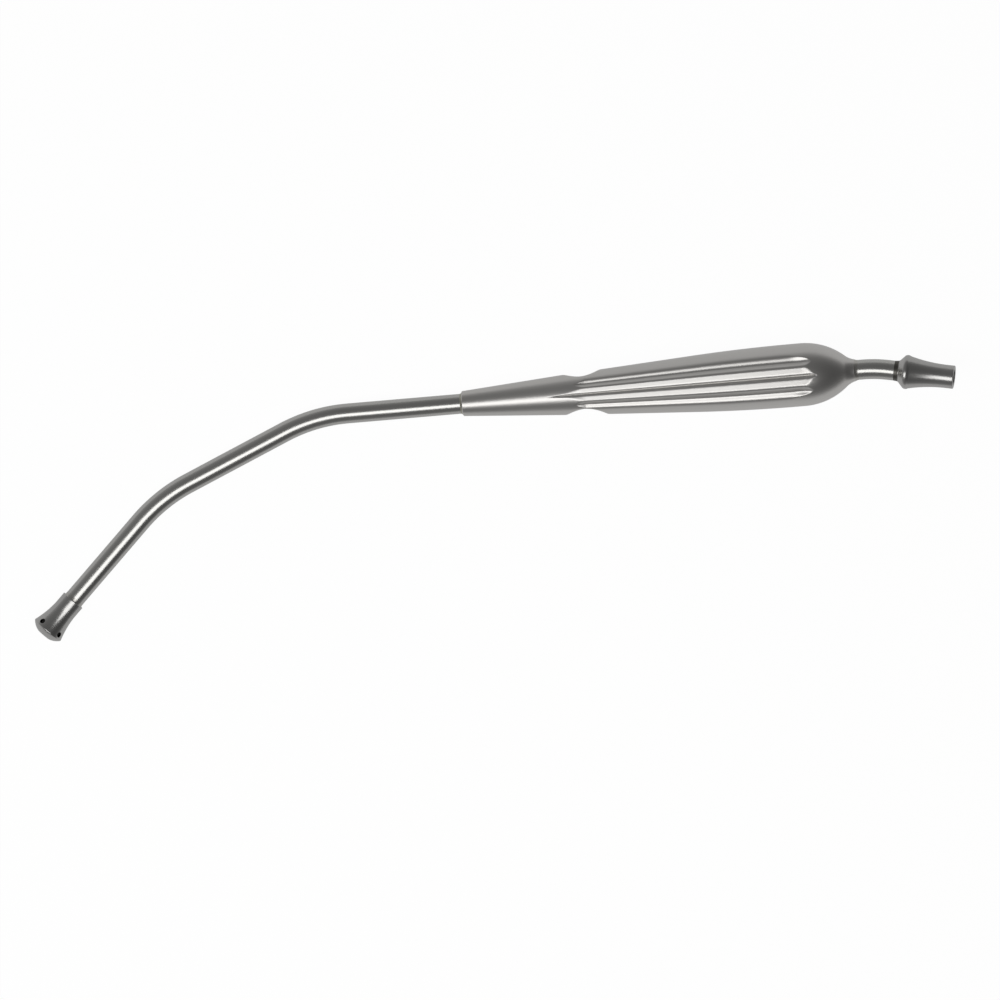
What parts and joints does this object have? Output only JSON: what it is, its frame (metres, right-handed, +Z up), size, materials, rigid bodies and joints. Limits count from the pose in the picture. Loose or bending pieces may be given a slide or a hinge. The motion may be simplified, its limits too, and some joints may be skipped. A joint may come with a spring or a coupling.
{
  "type": "yankauer suction tip",
  "caption": "Bent steel suction tube with a flared head and side eyes, a hollow fluted grip with finger notches and a tapered tubing connector, brazed together.",
  "frame": {"origin": "on the surface that it rests on, below the middle of its outline seen from above", "axes": "+X along its longest side, from the head towards the tubing connector; +Z up; the tube bends towards -Y, and the broad fluted sides of the grip face up and down"},
  "size_m": [0.283, 0.0698, 0.0194],
  "materials": {
    "satin_steel": "satin",
    "braze": "satin"
  },
  "bodies": {
    "root": {"suction_head": "satin_steel", "suction_tube": "satin_steel", "fluted_grip": "satin_steel", "tubing_connector": "satin_steel", "head_braze_ring": "braze", "front_braze_ring": "braze", "rear_braze_ring": "braze", "connector_braze_ring": "braze"}
  },
  "joints": []
}
